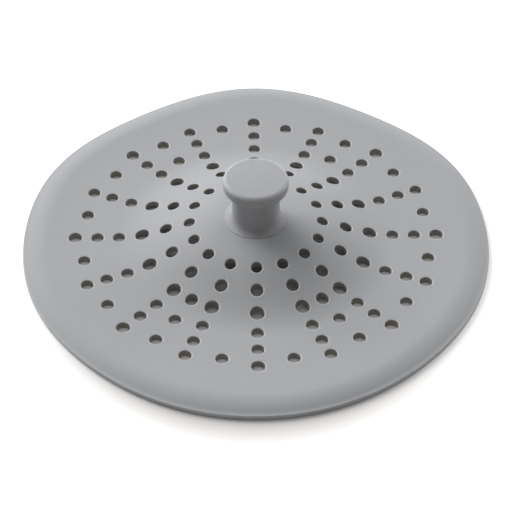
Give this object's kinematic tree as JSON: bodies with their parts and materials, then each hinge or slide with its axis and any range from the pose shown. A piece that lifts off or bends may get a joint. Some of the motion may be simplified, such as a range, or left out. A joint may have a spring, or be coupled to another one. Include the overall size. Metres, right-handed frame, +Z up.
{
  "type": "drain hair catcher",
  "caption": "Perforated silicone drain cover with a low dome, a lobed brim that lies flat over the drain, and a weighted pull knob.",
  "frame": {"origin": "on the knob's axis, on the surface that the brim lies on", "axes": "+Z up along the knob's axis, -Y towards the front lobe of the brim, +X to the right"},
  "size_m": [0.1442, 0.1508, 0.0261],
  "materials": {
    "sheet_silicone": "matte grey moulded silicone with a fine even grain and smooth rounded edges",
    "knob_silicone": "matte grey moulded silicone, slightly coarser grain than the sheet",
    "stud_nylon": "natural off-white moulded nylon, satin",
    "ballast_steel": "turned stainless steel, fine lathe marks",
    "clamp_steel": "stainless steel, tumbled satin"
  },
  "bodies": {
    "sheet": {"strainer_sheet": "sheet_silicone"},
    "hub": {"grip_knob": "knob_silicone", "knob_stud": "stud_nylon", "ballast_ring": "ballast_steel", "clamp_washer": "clamp_steel", "clamp_screw": "clamp_steel"}
  },
  "joints": [
    {"name": "dome_flex", "type": "slide", "parent": "sheet", "child": "hub", "axis": [0, 0, 1], "range_m": [-0.005, 0.004], "stiffness_N_per_m": 500, "deforming": ["strainer_sheet"]}
  ]
}
